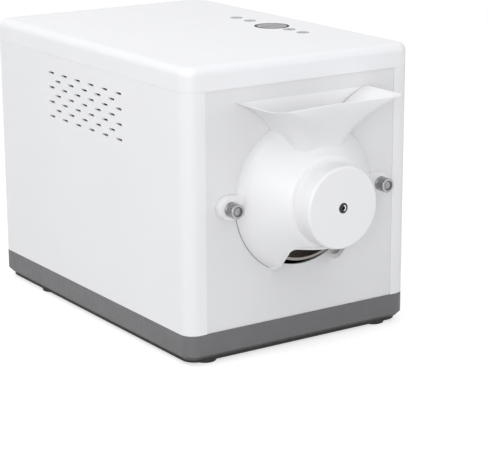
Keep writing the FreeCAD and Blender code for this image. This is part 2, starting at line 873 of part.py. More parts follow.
def heater_ends():
    """Where the rods' straight ends pass through the back of the chamber: (x, z)."""
    ends = []
    for turn in HEATER_TURNS.values():
        angle = math.radians(turn)
        for side in (-1, 1):
            across = side * d.rod_half_spacing.value
            x = across * math.cos(angle) + rod_depth() * math.sin(angle)
            drop = rod_depth() * math.cos(angle) - across * math.sin(angle)
            ends.append((x, d.axis_height - drop))
    return ends


def heaters():
    """Two sheathed U-shaped rods that run along the drum below it."""
    near = front.value + 14
    far = front.value + d.rear_frame_at.value + 9
    half = d.rod_half_spacing.value
    bend = near + half
    low = -rod_depth()
    for name, turn in HEATER_TURNS.items():
        left = Part.LineSegment(Vector(-half, far, low), Vector(-half, bend, low)).toShape()
        right = Part.LineSegment(Vector(half, bend, low), Vector(half, far, low)).toShape()
        middle = Vector(0, near, low)
        arc = Part.Arc(Vector(-half, bend, low), middle, Vector(half, bend, low)).toShape()
        ring = Part.makeCircle(d.rod_radius.value, Vector(-half, far, low), Vector(0, 1, 0))
        rod = Part.Wire([left, arc, right]).makePipeShell([Part.Wire(ring)], True, False)
        place(group(f"heater_{name}", rod.Solids), z=d.axis_height, turn=-turn)


def heater_clips():
    """Blocks that hold the rods off the chamber's wall."""
    half_width = 20
    thickness = 6
    clips = []
    for turn in HEATER_TURNS.values():
        for along in (60.0, 160.0):
            near = front.value + along
            far = near + thickness
            clip = block(-half_width, half_width, near, far, -d.chamber_radius.value, 1 - rod_depth())
            clip = clip.common(cylinder_y(d.chamber_radius, near - 1, far + 1, 0, 0))
            for side in (-1, 1):
                across = side * d.rod_half_spacing.value
                clip = clip.cut(cylinder_y(d.rod_radius, near - 1, far + 1, across, -rod_depth()))
            clip.rotate(Vector(0, 0, 0), Vector(0, 1, 0), -turn)
            clip.translate(Vector(0, 0, d.axis_height.value))
            clips += clip.Solids
    group("heater_clips", clips)


# ---------------------------------------------------------------- drum

def drum_shell():
    """Open-ended steel cylinder with a rolled bead at its mouth."""
    outer = d.drum_radius
    inner = outer - d.drum_wall
    mouth = front - d.drum_front
    bead = outer + 1.6
    turned("drum_shell", [
        (inner, mouth), (bead, mouth, 0.9), (bead, mouth + 3, 0.9), (outer, mouth + 3),
        (outer, front + d.drum_back), (inner, front + d.drum_back)], z=d.axis_height)


def drum_back_plate():
    """Plate with a thick hub that closes the drum's back and carries the rear shaft."""
    rim = d.drum_radius - d.drum_wall
    far = front + d.drum_back
    hub = 12.0
    face = far - 1.5
    turned("drum_back_plate", [
        (d.shaft_rear_radius, far - d.hub_length), (hub, far - d.hub_length), (hub, face),
        (rim, face), (rim, far), (d.shaft_rear_radius, far)], z=d.axis_height)


def drum_flights():
    """Two helical flights, one turn each, that lift the beans or carry them out of the mouth."""
    rim = d.drum_radius.value - d.drum_wall.value
    inner = rim - d.flight_height.value
    half = d.flight_sheet.value / 2
    start = front.value + d.flight_start.value
    length = d.flight_lead.value
    flights = []
    for turn in (0, 180):
        helix = Part.makeHelix(length, length, (inner + rim) / 2)
        corners = [
            Vector(inner, 0, -half), Vector(rim, 0, -half), Vector(rim, 0, half), Vector(inner, 0, half)]
        ribbon = Part.Wire(helix).makePipeShell([Part.makePolygon(corners + corners[:1])], True, True)
        ribbon.rotate(Vector(0, 0, 0), Vector(0, 0, 1), turn)
        ribbon.rotate(Vector(0, 0, 0), Vector(1, 0, 0), -90)
        ribbon.translate(Vector(0, start, 0))
        flights += ribbon.common(cylinder_y(rim, start - 10, start + length + 10, 0, 0)).Solids
    place(group("drum_flights", flights), z=d.axis_height)


def drum_spider():
    """Hub and three arms that hold the front shaft in the drum's mouth."""
    near = front + 8
    far = near + 4
    hub = 9.0
    body = turned("drum_spider", [
        (d.shaft_front_radius, near - 3), (hub, near - 3, 1.0), (hub, far + 3, 1.0),
        (d.shaft_front_radius, far + 3)], z=d.axis_height)
    rim = d.drum_radius - d.drum_wall
    arm = rectangle(facing(body, near), -4.0, 4.0, hub - 1, rim)
    spoke = pad(body, arm, far - near, reverse=True)
    repeat_around(body, spoke, "Y_Axis", 3)
    trim = facing(body, near - 1)
    circle(trim, 0.0, 0.0, rim + 4)
    circle(trim, 0.0, 0.0, rim - 0.02)
    pocket(body, trim, far - near + 2)


def drum_shafts():
    """Front stub that runs in the cover's bush, and rear shaft that carries the gear."""
    bevel = 0.6
    radius = d.shaft_front_radius
    tip = front - d.seat_reach + d.seat_end_wall + 1.2
    end = front + 15
    turned("drum_front_shaft", [
        (0.0, tip), (radius - bevel, tip), (radius, tip + bevel), (radius, end), (0.0, end)],
        z=d.axis_height)
    radius = d.shaft_rear_radius
    near = front + d.drum_back - d.hub_length
    end = front + d.gear_at + d.gear_width + 3
    turned("drum_rear_shaft", [
        (0.0, near), (radius, near), (radius, end - bevel), (radius - bevel, end), (0.0, end)],
        z=d.axis_height)


def rear_bearing():
    inner = d.shaft_rear_radius + d.running_fit
    near = front + d.rear_frame_at - 0.9
    tube("rear_bearing", inner, d.bearing_radius, near, near + 7, d.axis_height)


def involute_gear(teeth, bore, start, thinning=0.12):
    """Spur gear about Y from involute flanks, thinned a little on both flanks for backlash."""
    module = d.gear_module.value
    pitch = module * teeth / 2
    pressure = math.radians(20)
    base = pitch * math.cos(pressure)
    tip = pitch + module
    root = pitch - 1.25 * module
    half_tooth = math.pi / (2 * teeth) - thinning / pitch

    def flank_angle(radius):
        roll = math.sqrt(max((radius / base) ** 2 - 1, 0))
        return half_tooth + math.tan(pressure) - pressure - (roll - math.atan(roll))

    radii = [max(base, root + 0.1), pitch, (pitch + tip) / 2, tip]
    flank = [(root, flank_angle(radii[0]) + 0.01)] + [(radius, flank_angle(radius)) for radius in radii]
    points = []
    for tooth in range(teeth):
        middle = 2 * math.pi * tooth / teeth
        points += [(radius, middle - angle) for radius, angle in flank]
        points += [(radius, middle + angle) for radius, angle in reversed(flank)]
    corners = [Vector(radius * math.cos(angle), 0, radius * math.sin(angle)) for radius, angle in points]
    disc = Part.Face(Part.makePolygon(corners + corners[:1])).extrude(Vector(0, d.gear_width.value, 0))
    disc = disc.cut(cylinder_y(bore, -1, d.gear_width.value + 1, 0, 0))
    disc.translate(Vector(0, start, 0))
    return disc


def gears():
    """Wheel and pinion in mesh at rest: a tooth of the wheel points down into a gap of the pinion."""
    start = front.value + d.gear_at.value
    hub = cylinder_y(10.0, start - 3, start, 0, 0)
    hub = hub.cut(cylinder_y(d.shaft_rear_radius, start - 4, start + 1, 0, 0))
    wheel = involute_gear(DRUM_TEETH, d.shaft_rear_radius, start).fuse(hub).removeSplitter()
    place(group("drum_gear", wheel.Solids), z=d.axis_height)
    pinion = involute_gear(PINION_TEETH, d.motor_shaft_radius, start)
    pinion.rotate(Vector(0, 0, 0), Vector(0, 1, 0), 180.0 / PINION_TEETH)
    place(group("motor_pinion", pinion.Solids), z=motor_height())


# ---------------------------------------------------------------- gear motor

def gear_motor():
    """Round gearbox and motor can, one sealed unit, with the output shaft as its own piece."""
    near = front + d.motor_bracket_at + d.frame_sheet
    height = motor_height()
    bore = d.motor_shaft_radius + d.running_fit
    spigot = 6.9
    gearbox = 18.5
    can = 16.0
    end = near + 66
    turned("gear_motor", [
        (bore, near - 2), (spigot, near - 2), (spigot, near), (gearbox, near, 1.0), (gearbox, near + 24),
        (can, near + 24), (can, end, 2.0), (4.0, end), (4.0, end + 2), (0.0, end + 2),
        (0.0, near + 16), (bore, near + 16)], z=height)
    start = front + d.gear_at - 0.5
    turned("motor_shaft", [
        (0.0, start), (d.motor_shaft_radius, start), (d.motor_shaft_radius, near + 15), (0.0, near + 15)],
        z=height)


# ---------------------------------------------------------------- exhaust fan

def fan_frame():
    """Square frame with a round duct, a motor seat on four struts and a fixed pin."""
    body = new_body("fan_frame")
    far = back - d.panel_recess - d.panel_wall
    half = d.fan_size / 2
    pad(body, rectangle(facing(body, far), -half, half, -half, half, 4.0), d.fan_depth)
    pocket(body, circle(facing(body, far - d.fan_depth - 1), 0.0, 0.0, d.fan_duct), d.fan_depth + 2)
    seat = d.fan_hub - 1
    strut = rectangle(facing(body, far), -2.0, 2.0, seat - 4, d.fan_duct + 1)
    arm = pad(body, strut, 3.0)
    repeat_around(body, arm, "Y_Axis", 4)
    pad(body, circle(facing(body, far), 0.0, 0.0, seat), 4.0)
    pad(body, circle(facing(body, far - 3), 0.0, 0.0, d.fan_pin), 18.0)
    place(body, z=d.fan_height)


def fan_impeller():
    """Cup-shaped hub with seven pitched blades."""
    far = back - d.panel_recess - d.panel_wall - 5.5
    near = far - 16
    bore = d.fan_pin + d.running_fit
    cup = d.fan_hub - 2
    sleeve = 4.0
    body = turned("fan_impeller", [
        (bore, near), (d.fan_hub, near, 1.5), (d.fan_hub, far), (cup, far), (cup, near + 2),
        (sleeve, near + 2), (sleeve, far - 2), (bore, far - 2)], z=d.fan_height)
    section = sketch_on(body, "YZ_Plane", d.fan_hub - 1)
    middle = (near.value + far.value) / 2
    reach, rise, half = 6.6, 5.2, 0.7
    outline(section, [(middle - reach - half, -rise), (middle - reach + half, -rise),
                      (middle + reach + half, rise), (middle + reach - half, rise)])
    blade = pad(body, section, d.fan_blade - d.fan_hub + 0.5)
    repeat_around(body, blade, "Y_Axis", 7)


# ---------------------------------------------------------------- electronics in the tray

def power_board():
    """Board on four standoffs, with its transformer, capacitor, relay and heat sink."""
    body = new_body("power_board")
    low = tray_floor + d.standoff_height
    near = front + 40
    board = rectangle(sketch_on(body, "XY_Plane", low), -60.0, 60.0, near, near + 80, 2.0)
    pad(body, board, d.board_thickness)
    group("board_standoffs", [
        cylinder_z(3.0, tray_floor, low, x, near + y) for x in (-54, 54) for y in (6, 74)])
    top = low + d.board_thickness
    transformer = block(-52, -22, near + 20, near + 52, top, top + 24)
    relay = block(-10, 8, near + 14, near + 26, top, top + 14)
    heat_sink = block(14, 26, near + 40, near + 70, top, top + 22)
    terminals = block(34, 52, near + 16, near + 44, top, top + 15)
    capacitor = cylinder_z(8.0, top, top + 22, 0, near + 52)
    group("board_components", [transformer, relay, heat_sink, terminals, capacitor])


# ---------------------------------------------------------------- front cover

def hopper_section(body, height, half, reach, bend, bow, inset, behind):
    """The hopper's outline at one height: open towards the housing, with a hollow front edge."""
    section = sketch_on(body, "XY_Plane", height)
    near = front - reach + inset
    return outline(section, [
        (half - inset, behind), (inset - half, behind), (inset - half, near, bend - inset),
        (0.0, near + bow, d.bow_round), (half - inset, near, bend - inset)])


def hopper_sections(body, inset, behind):
    return [hopper_section(body, *row, inset, behind) for row in (
        (d.rim_height, d.rim_half, d.rim_reach, d.rim_round, d.rim_bow),
        (d.flare_height, d.flare_half, d.flare_reach, d.flare_round, d.flare_bow),
        (d.neck_height, d.neck_half, d.neck_reach, d.neck_round, d.neck_bow),
        (d.throat_height, d.throat_half, d.throat_reach, d.throat_round, d.throat_bow))]


def loft(body, kind, sections):
    before = volume_of(body)
    feature = body.newObject(f"PartDesign::{kind}", f"{body.Name}_{kind.lower()}")
    feature.Profile = sections[0]
    feature.Sections = sections[1:]
    doc.recompute()
    change = volume_of(body) - before
    if (change > -1e-3) == (kind == "SubtractiveLoft"):
        raise RuntimeError(f"{body.Label}: {kind} changed the volume by {change:.3f}")
    return feature


def notch_outline(sketch, margin, corner):
    """The discharge notch, open at the bottom, with a bowed top edge; larger all round by the margin."""
    half = d.notch_half + margin
    top = margin - d.notch_top
    low = -d.dome_radius - 5
    return outline(sketch, [
        (-half, low), (half, low), (half, top, corner), (0.0, top - d.notch_bow, 60.0),
        (-half, top, corner)])


def dome_corners(growth):
    """The dome's profile from its crown to its rim, moved outwards by this much."""
    face = front - d.dome_depth - growth
    shoulder = front - d.dome_shoulder - growth * 0.41
    return [
        (0.0, face), (d.dome_crown + growth * 0.42, face, d.crown_round + growth),
        (d.dome_radius + growth, shoulder, d.dome_round + growth)]


def notch_lip(body):
    """A band of thicker wall round the notch: all that stays of a dome a little larger than the cover's."""
    face = front - d.dome_depth - d.lip_rise
    rim = d.dome_radius + d.lip_rise
    revolve(body, outline(sketch_on(body, "XY_Plane"), [
        *dome_corners(d.lip_rise), (rim, cover_seat), (0.0, cover_seat)]))
    around = facing(body, face - 1)
    circle(around, 0.0, 0.0, rim + 20)
    notch_outline(around, d.lip_width, 4.0 + d.lip_width)
    pocket(body, around, d.dome_depth + 5)


def front_cover():
    """One moulding: dome over the drum's mouth, hopper above it, ears at the sides, bearing seat."""
    body = new_body("front_cover")
    face = front - d.dome_depth
    seat_end = front - d.seat_reach
    wall = d.cover_wall
    notch_lip(body)
    revolve(body, outline(sketch_on(body, "XY_Plane"), [
        (0.0, seat_end), (d.seat_radius, seat_end), (d.seat_radius, face),
        *dome_corners(Size.of(0.0))[1:], (d.dome_radius, cover_seat), (0.0, cover_seat)]))
    loft(body, "AdditiveLoft", hopper_sections(body, Size.of(0.0), cover_seat))
    ears = facing(body, cover_seat)
    root = 60.0
    for side in (-1, 1):
        length = d.ear_half - root + d.ear_radius * 2
        slot(ears, side * (d.ear_half + root) / 2, Size.of(0.0), length, d.ear_radius * 2)
    pad(body, ears, d.ear_reach + (cover_seat - front))
    inner = d.dome_radius - wall
    groove(body, outline(sketch_on(body, "XY_Plane"), [
        (0.0, seat_end + d.seat_end_wall), (d.bush_radius, seat_end + d.seat_end_wall),
        (d.bush_radius, face + wall), *dome_corners(-wall)[1:],
        (inner, cover_seat + 1), (0.0, cover_seat + 1)]))
    loft(body, "SubtractiveLoft", hopper_sections(body, d.hopper_wall, cover_seat + 1))
    notch = facing(body, face - d.lip_rise - 1)
    pocket(body, notch_outline(notch, 0.0, 4.0), d.dome_depth + 5)
    holes = facing(body, front - d.ear_reach - 1)
    for side in (-1, 1):
        circle(holes, side * d.ear_half, 0.0, d.screw_radius + 0.45)
    pocket(body, holes, d.ear_reach + 3)
    screw = circle(facing(body, seat_end - 1), 0.0, 0.0, d.cap_screw_radius)
    pocket(body, screw, d.seat_end_wall + 2)
    place(body, z=d.axis_height)


def bearing_cap():
    """Round cap over the front bearing: a cup with a central post for its screw."""
    face = front - d.cover_reach
    seat = front - d.dome_depth
    post_end = front - d.seat_reach
    inner = d.cap_radius - d.cap_wall
    post = 8.0
    bore = d.cap_screw_radius + 0.1
    sink = d.cap_head_radius + 0.3
    turned("bearing_cap", [
        (sink, face), (d.cap_radius, face, d.cap_edge), (d.cap_radius, seat), (inner, seat),
        (inner, face + d.cap_wall, 2.0), (post, face + d.cap_wall), (post, post_end), (bore, post_end),
        (bore, face + 2), (sink, face + 2)], z=d.axis_height)


def cap_screw():
    """Socket-head screw, sunk in the cap's face."""
    face = front - d.cover_reach
    top = face + 0.2
    tip = front - d.seat_reach + d.seat_end_wall - 0.2
    body = turned("cap_screw", [
        (0.0, top), (d.cap_head_radius, top, 0.6), (d.cap_head_radius, face + 2),
        (d.cap_screw_radius, face + 2), (d.cap_screw_radius, tip), (0.0, tip)], z=d.axis_height)
    pocket(body, hexagon(facing(body, face), 2.0), 1.6)


def front_bush():
    """Bush pressed into the cover's bearing seat; the drum's front shaft runs in it."""
    near = front - d.seat_reach + d.seat_end_wall + 1
    tube("front_bush", d.shaft_front_radius + d.running_fit, d.bush_radius, near, front - d.dome_depth + 1,
         d.axis_height)


def feed_chute():
    """Bent sheet behind the hopper's throat that leads the beans over the drum's lip."""
    body = new_body("feed_chute")
    root = front - d.dome_depth + d.cover_wall
    lip = front - 2
    half = d.chute_half
    side = sketch_on(body, "YZ_Plane", -half)
    outline(side, [
        (root, 12.0), (root + 1, 12.0), (root + 1, 28.6), (lip, 9.0), (lip, 10.2),
        (root + 1, 30.0), (root, 30.0)])
    pad(body, side, 2 * half)
    for start in (-half, half - 1):
        cheek = sketch_on(body, "YZ_Plane", start)
        outline(cheek, [(lip, 9.4), (lip, 40.0), (lip - 16, 50.0), (root + 9, 36.0), (root + 3, 28.1)])
        pad(body, cheek, 1.0)
    place(body, z=d.axis_height)


# ---------------------------------------------------------------- thumb screws

def thumb_screws():
    """Knurled screws that stay in the ears, each with a washer under its head."""
    ear = front - d.ear_reach
    head = ear - d.washer_thickness
    end = head - d.knob_length
    tip = front + d.screw_reach
    neck = 6.0
    dish = 4.7
    bevel = 0.8
    for (x, z), name in zip(thumb_places(), ("left", "right")):
        body = turned(f"thumb_screw_{name}", [
            (0.0, end + bevel), (dish, end + bevel), (dish, end), (d.knob_radius, end, bevel),
            (d.knob_radius, head - 2), (neck, head - 1), (neck, head), (d.screw_radius, head),
            (d.screw_radius, tip - bevel), (d.screw_radius - bevel, tip), (0.0, tip)], z=z, x=x)
        flute = facing(body, end - 1)
        rim = d.knob_radius
        outline(flute, [(-0.5, rim + 0.4), (0.0, rim - 0.45), (0.5, rim + 0.4)])
        cut = pocket(body, flute, d.knob_length + 0.5)
        repeat_around(body, cut, "Y_Axis", KNOB_FLUTES)
        tube(f"thumb_washer_{name}", d.screw_radius + d.running_fit, 7.0, head, ear, z, x=x)


# ---------------------------------------------------------------- the whole machine

def build():
    base_tray()
    feet()
    foot_screws()
    side_panel("left", -1)
    side_panel("right", 1)
    top_cover()
    front_panel()
    rear_panel()
    rear_screws()
    power_inlet()
    inlet_pins()
    display_window()
    touch_keys()
    control_board()
    frames()
    thumb_nuts()
    roasting_chamber()
    insulation_wrap()
    temperature_probe()
    heaters()
    heater_clips()
    drum_shell()
    drum_back_plate()
    drum_flights()
    drum_spider()
    drum_shafts()
    rear_bearing()
    gears()
    gear_motor()
    fan_frame()
    fan_impeller()
    power_board()
    front_cover()
    bearing_cap()
    cap_screw()
    front_bush()
    feed_chute()
    thumb_screws()
    doc.recompute()


def check():
    """Every object of the document is sound, and every sub-part has a valid shape."""
    for item in doc.Objects:
        if any(state in ("Invalid", "Error") for state in item.State):
            raise RuntimeError(f"{item.Label} did not recompute: {item.State}")
    for item in PARTS:
        if item.Shape.isNull() or not item.Shape.isValid():
            raise RuntimeError(f"{item.Label} has no valid shape")


def export():
    os.makedirs("parts", exist_ok=True)
    for item in PARTS:
        item.Shape.exportStep(f"parts/{item.Label}.step")
    print(len(PARTS), "sub-parts")


build()
check()
export()
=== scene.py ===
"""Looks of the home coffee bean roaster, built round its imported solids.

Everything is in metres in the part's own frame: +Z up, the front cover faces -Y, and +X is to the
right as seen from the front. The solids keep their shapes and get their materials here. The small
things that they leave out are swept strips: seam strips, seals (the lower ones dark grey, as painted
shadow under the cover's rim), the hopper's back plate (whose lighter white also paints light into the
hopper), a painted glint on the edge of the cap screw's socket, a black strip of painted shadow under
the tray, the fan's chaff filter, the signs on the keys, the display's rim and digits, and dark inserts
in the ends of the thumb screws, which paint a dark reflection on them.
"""
import json
import math

import bmesh
import bpy
from mathutils import Matrix, Vector


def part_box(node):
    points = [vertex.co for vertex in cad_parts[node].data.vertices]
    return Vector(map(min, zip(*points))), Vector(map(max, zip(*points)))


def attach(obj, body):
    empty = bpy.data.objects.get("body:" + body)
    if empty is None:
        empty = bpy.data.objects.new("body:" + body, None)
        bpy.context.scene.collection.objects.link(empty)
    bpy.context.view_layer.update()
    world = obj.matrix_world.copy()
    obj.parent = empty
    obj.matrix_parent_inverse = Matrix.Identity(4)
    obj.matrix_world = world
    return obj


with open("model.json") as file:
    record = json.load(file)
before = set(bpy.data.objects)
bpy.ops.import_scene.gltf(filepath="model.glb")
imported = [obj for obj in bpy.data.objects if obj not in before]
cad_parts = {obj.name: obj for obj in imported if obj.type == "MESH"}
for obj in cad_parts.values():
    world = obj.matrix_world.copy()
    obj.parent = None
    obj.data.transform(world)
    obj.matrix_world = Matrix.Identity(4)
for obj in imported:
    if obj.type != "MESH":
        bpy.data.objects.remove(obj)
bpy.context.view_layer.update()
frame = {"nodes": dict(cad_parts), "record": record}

MM = 0.001
UP = (0, 0, 1)
FORWARD = (0, -1, 0)

# ---------------------------------------------------------------- sizes, read from the solids or given

SHELL_LOW, SHELL_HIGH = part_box("side_panel_left")
AXIS_HEIGHT = (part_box("drum_shell")[0].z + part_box("drum_shell")[1].z) / 2
PANEL_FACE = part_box("front_panel")[0].y
COVER_RADIUS = 73.5 * MM
CORNER_ROUND = 13.5 * MM
KEY_STEPS = (22.7 * MM, 90.4 * MM)


def in_mm(*points):
    """A profile or a run of points, written in millimetres."""
    return [tuple(number * MM for number in point) for point in points]


# ---------------------------------------------------------------- camera

CAMERA_PLACE = Vector((-0.93216, -1.43033, 0.54829))
CAMERA_YAW = math.radians(34.128)
CAMERA_PITCH = math.radians(15.362)
CAMERA_ROLL = math.radians(-0.179)
CAMERA_LENS = 131.81
SENSOR_WIDTH = 36.0
CLIP_END = 50.0


def make_camera():
    """A long lens, front left of the machine and a little above it."""
    forward = Vector((math.sin(CAMERA_YAW) * math.cos(CAMERA_PITCH),
                      math.cos(CAMERA_YAW) * math.cos(CAMERA_PITCH), -math.sin(CAMERA_PITCH)))
    level = forward.cross(Vector(UP)).normalized()
    upright = level.cross(forward)
    across = level * math.cos(CAMERA_ROLL) + upright * math.sin(CAMERA_ROLL)
    up = upright * math.cos(CAMERA_ROLL) - level * math.sin(CAMERA_ROLL)
    data = bpy.data.cameras.new("camera")
    data.lens = CAMERA_LENS
    data.sensor_width = SENSOR_WIDTH
    data.clip_end = CLIP_END
    camera = bpy.data.objects.new("camera", data)
    turn = Matrix((across, up, -forward)).transposed().to_4x4()
    camera.matrix_world = Matrix.Translation(CAMERA_PLACE) @ turn
    bpy.context.scene.collection.objects.link(camera)
    bpy.context.scene.camera = camera


# ---------------------------------------------------------------- light, floor and backdrop

LAMPS = (
    # name, place, what it points at, size, power
    ("lamp_top", (-1.1, 0.25, 1.55), (0.0, 0.0, 0.2), 1.0, 11.4),
    ("lamp_left", (-1.0, -1.6, 0.55), (0.0, -0.1, 0.15), 0.9, 9.8),
    ("lamp_right", (1.5, -1.6, 0.9), (0.0, -0.1, 0.15), 1.0, 3.6),
    ("lamp_front", (0.1, -1.1, 1.7), (0.0, -0.1, 0.2), 1.2, 3.5),
)
SKY_COLOUR = (0.96, 0.97, 1.0)
SKY_STRENGTH = 0.56
BACKDROP_COLOUR = (1, 1, 1)
BACKDROP_STRENGTH = 1.0
FLOOR_COLOUR = (0.6, 0.6, 0.6)
FLOOR_GLOW = 0.64
FLOOR_REACH = 12.0


def make_lamps():
    """Four soft square lamps, each pointed at the machine."""
    for name, place, target, size, power in LAMPS:
        data = bpy.data.lights.new(name, "AREA")
        data.shape = "SQUARE"
        data.size = size
        data.energy = power
        lamp = bpy.data.objects.new(name, data)
        lamp.location = place
        lamp.rotation_euler = (Vector(place) - Vector(target)).to_track_quat("Z", "Y").to_euler()
        bpy.context.scene.collection.objects.link(lamp)


def seen_directly(tree):
    """1 for a camera, glossy or transmission ray."""
    path = tree.nodes.new("ShaderNodeLightPath")
    total = path.outputs["Is Camera Ray"]
    for name in ("Is Glossy Ray", "Is Transmission Ray"):
        larger = tree.nodes.new("ShaderNodeMath")
        larger.operation = "MAXIMUM"
        tree.links.new(total, larger.inputs[0])
        tree.links.new(path.outputs[name], larger.inputs[1])
        total = larger.outputs[0]
    return total


def background(tree, colour, strength):
    """The light of one side of the world's mix."""
    node = tree.nodes.new("ShaderNodeBackground")
    node.inputs["Color"].default_value = (*colour, 1)
    node.inputs["Strength"].default_value = strength
    return node.outputs[0]


def make_world():
    """White where the camera, a reflection or glass looks straight at it; softer as a light."""
    world = bpy.data.worlds.new("studio")
    bpy.context.scene.world = world
    world.use_nodes = True
    tree = world.node_tree
    tree.nodes.clear()
    mix = tree.nodes.new("ShaderNodeMixShader")
    output = tree.nodes.new("ShaderNodeOutputWorld")
    tree.links.new(seen_directly(tree), mix.inputs[0])
    tree.links.new(background(tree, SKY_COLOUR, SKY_STRENGTH), mix.inputs[1])
    tree.links.new(background(tree, BACKDROP_COLOUR, BACKDROP_STRENGTH), mix.inputs[2])
    tree.links.new(mix.outputs[0], output.inputs[0])


def make_floor():
    """A pale sweep: it shows white where it is lit, and keeps the machine's shadow."""
    mesh = bpy.data.meshes.new("floor")
    reach = FLOOR_REACH
    corners = [(-reach, -reach, 0), (reach, -reach, 0), (reach, reach, 0), (-reach, reach, 0)]
    mesh.from_pydata(corners, [], [(0, 1, 2, 3)])
    floor = bpy.data.objects.new("floor", mesh)
    bpy.context.scene.collection.objects.link(floor)
    material = bpy.data.materials.new("floor")
    material.use_nodes = True
    tree = material.node_tree
    tree.nodes.clear()
    matt = tree.nodes.new("ShaderNodeBsdfDiffuse")
    matt.inputs["Color"].default_value = (*FLOOR_COLOUR, 1)
    glow = tree.nodes.new("ShaderNodeEmission")
    scale = tree.nodes.new("ShaderNodeMath")
    scale.operation = "MULTIPLY"
    scale.inputs[1].default_value = FLOOR_GLOW
    tree.links.new(seen_directly(tree), scale.inputs[0])
    tree.links.new(scale.outputs[0], glow.inputs["Strength"])
    both = tree.nodes.new("ShaderNodeAddShader")
    output = tree.nodes.new("ShaderNodeOutputMaterial")
    tree.links.new(matt.outputs[0], both.inputs[0])
    tree.links.new(glow.outputs[0], both.inputs[1])
    tree.links.new(both.outputs[0], output.inputs[0])
    mesh.materials.append(material)


# ---------------------------------------------------------------- materials

COAT_ROUGHNESS = 0.08
PATTERN_MIDDLE = (0.3, 0.7)
# The tray is darkened by painted shade below this height, fading over the softness.
TRAY_SHADE_HEIGHT = 9.6 * MM
TRAY_SHADE_SOFTNESS = 1.6 * MM


def shade(colour, share):
    """The colour with every channel scaled."""
    return tuple(channel * share for channel in colour)


class Finish:
    """A principled material whose pattern nodes all read the part's own coordinates."""

    def __init__(self, name, colour, roughness, metallic=0.0, coat=0.0, specular=0.5):
        self.material = bpy.data.materials.new(name)
        self.material.use_nodes = True
        self.tree = self.material.node_tree
        self.shader = self.tree.nodes["Principled BSDF"]
        self.colour = colour
        self.roughness = roughness
        self.normal = None
        for socket, value in (("Base Color", (*colour, 1)), ("Roughness", roughness),
                              ("Metallic", metallic), ("Coat Weight", coat),
                              ("Coat Roughness", COAT_ROUGHNESS), ("Specular IOR Level", specular)):
            self.shader.inputs[socket].default_value = value
        self.place = self.node("ShaderNodeTexCoord").outputs["Object"]

    def node(self, kind, **settings):
        """A new node with its settings."""
        made = self.tree.nodes.new(kind)
        for name, value in settings.items():
            setattr(made, name, value)
        return made

    def link(self, source, target):
        """Joins an output to an input."""
        self.tree.links.new(source, target)

    def stretched(self, stretch):
        """The coordinates scaled along each axis, for brushed or combed patterns."""
        mapping = self.node("ShaderNodeMapping")
        mapping.inputs["Scale"].default_value = stretch
        self.link(self.place, mapping.inputs["Vector"])
        return mapping.outputs["Vector"]

    def noise(self, scale, detail=3.0, roughness=0.5, place=None):
        """A noise pattern, about 0 to 1."""
        noise = self.node("ShaderNodeTexNoise")
        noise.inputs["Scale"].default_value = scale
        noise.inputs["Detail"].default_value = detail
        noise.inputs["Roughness"].default_value = roughness
        self.link(place or self.place, noise.inputs["Vector"])
        return noise.outputs["Fac"]

    def spread(self, pattern, low, high, start=PATTERN_MIDDLE[0], end=PATTERN_MIDDLE[1]):
        """The pattern's range from start to end, stretched to run from low to high."""
        spread = self.node("ShaderNodeMapRange")
        for name, value in (("From Min", start), ("From Max", end), ("To Min", low), ("To Max", high)):
            spread.inputs[name].default_value = value
        self.link(pattern, spread.inputs["Value"])
        return spread.outputs["Result"]

    def tint(self, pattern, other, amount):
        """Mixes another colour in where the pattern is high."""
        mix = self.node("ShaderNodeMix", data_type="RGBA")
        colour = self.shader.inputs["Base Color"]
        if colour.is_linked:
            self.link(colour.links[0].from_socket, mix.inputs["A"])
        else:
            mix.inputs["A"].default_value = (*self.colour, 1)
        mix.inputs["B"].default_value = (*other, 1)
        self.link(self.spread(pattern, 0.0, amount), mix.inputs["Factor"])
        self.link(mix.outputs["Result"], colour)
        return self

    def vary_roughness(self, pattern, by):
        """Moves the roughness up and down with the pattern."""
        varied = self.spread(pattern, self.roughness - by, self.roughness + by)
        self.link(varied, self.shader.inputs["Roughness"])
        return self

    def bump(self, pattern, height, strength=1.0):
        """Raises the surface by the pattern; bumps stack."""
        bump = self.node("ShaderNodeBump")
        bump.inputs["Distance"].default_value = height
        bump.inputs["Strength"].default_value = strength
        self.link(pattern, bump.inputs["Height"])
        if self.normal:
            self.link(self.normal, bump.inputs["Normal"])
        self.normal = bump.outputs["Normal"]
        self.link(self.normal, self.shader.inputs["Normal"])
        return self


def powder_coat(name, colour):
    """Satin white paint on sheet steel, with the fine orange peel of a powder coat."""
    finish = Finish(name, colour, 0.42, coat=0.1)
    finish.tint(finish.noise(scale=9.0, detail=2.0), shade(colour, 0.965), amount=0.5)
    finish.vary_roughness(finish.noise(scale=60.0), by=0.05)
    return finish.bump(finish.noise(scale=1400.0, detail=2.0), height=0.02 * MM, strength=0.3).material


def gloss_moulding(name, colour, roughness):
    """Glossy moulded plastic, with a very slight ripple from the mould."""
    finish = Finish(name, colour, roughness, coat=0.12)
    finish.tint(finish.noise(scale=14.0, detail=2.0), shade(colour, 0.97), amount=0.5)
    finish.vary_roughness(finish.noise(scale=90.0), by=0.025)
    return finish.bump(finish.noise(scale=24.0, detail=1.0), height=0.06 * MM, strength=0.08).material


def spark_grain(finish):
    """The fine grain that spark erosion leaves in a dark moulding."""
    finish.tint(finish.noise(scale=30.0, detail=4.0), shade(finish.colour, 1.25), amount=0.6)
    finish.vary_roughness(finish.noise(scale=200.0, detail=2.0), by=0.08)
    return finish.bump(finish.noise(scale=2200.0, detail=2.0), height=0.04 * MM, strength=0.6)


def grained_plastic(name, colour, roughness):
    """Dark moulded plastic with a fine grain."""
    return spark_grain(Finish(name, colour, roughness)).material


